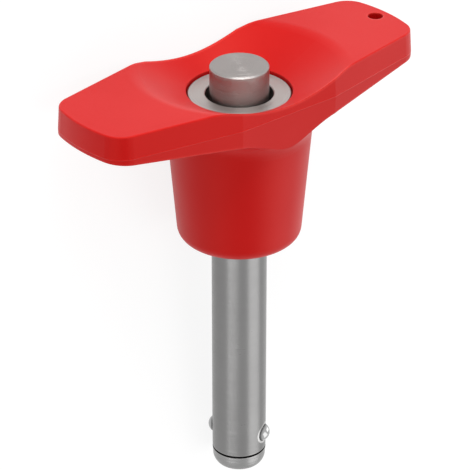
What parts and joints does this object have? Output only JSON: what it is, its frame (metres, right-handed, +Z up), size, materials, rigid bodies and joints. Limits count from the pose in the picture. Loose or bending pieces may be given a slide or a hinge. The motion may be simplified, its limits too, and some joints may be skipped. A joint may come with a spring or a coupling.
{
  "type": "ball lock pin",
  "caption": "Push-button ball lock pin: plastic T-handle with a dished seat and lanyard hole, steel shank with retracting locking balls and a rounded nose.",
  "frame": {"origin": "on the table, under the centre of the lying pin's box", "axes": "+X along the wings towards the lanyard hole, +Y along the lying pin towards the push button, +Z up from the table"},
  "size_m": [0.0704, 0.0831, 0.0276],
  "materials": {
    "red_plastic": "satin",
    "turned_steel": "satin",
    "ground_steel": "satin",
    "spring_steel": "satin",
    "ball_steel": "polished"
  },
  "bodies": {
    "pin_body": {"handle": "red_plastic", "guide_cup": "turned_steel", "shank_sleeve": "ground_steel", "return_spring": "spring_steel"},
    "button": {"push_button": "turned_steel", "spindle": "turned_steel"},
    "ball_1": {"locking_ball_1": "ball_steel"},
    "ball_2": {"locking_ball_2": "ball_steel"}
  },
  "joints": [
    {"name": "button_press", "type": "slide", "parent": "pin_body", "child": "button", "axis": [0, -0.9946, -0.1039], "range_m": [0, 0.0045], "stiffness_N_per_m": 900, "springref_m": -0.008, "deforming": ["return_spring"]},
    {"name": "locking_ball_1_retract", "type": "slide", "parent": "pin_body", "child": "ball_1", "axis": [-0.5, 0.09, -0.8613], "range_m": [0, 0.00105]},
    {"name": "locking_ball_2_retract", "type": "slide", "parent": "pin_body", "child": "ball_2", "axis": [0.5, -0.09, 0.8613], "range_m": [0, 0.00105]}
  ],
  "couplings": [
    {"joint": "locking_ball_1_retract", "follows": "button_press", "ratio": 0.23333},
    {"joint": "locking_ball_2_retract", "follows": "button_press", "ratio": 0.23333}
  ]
}
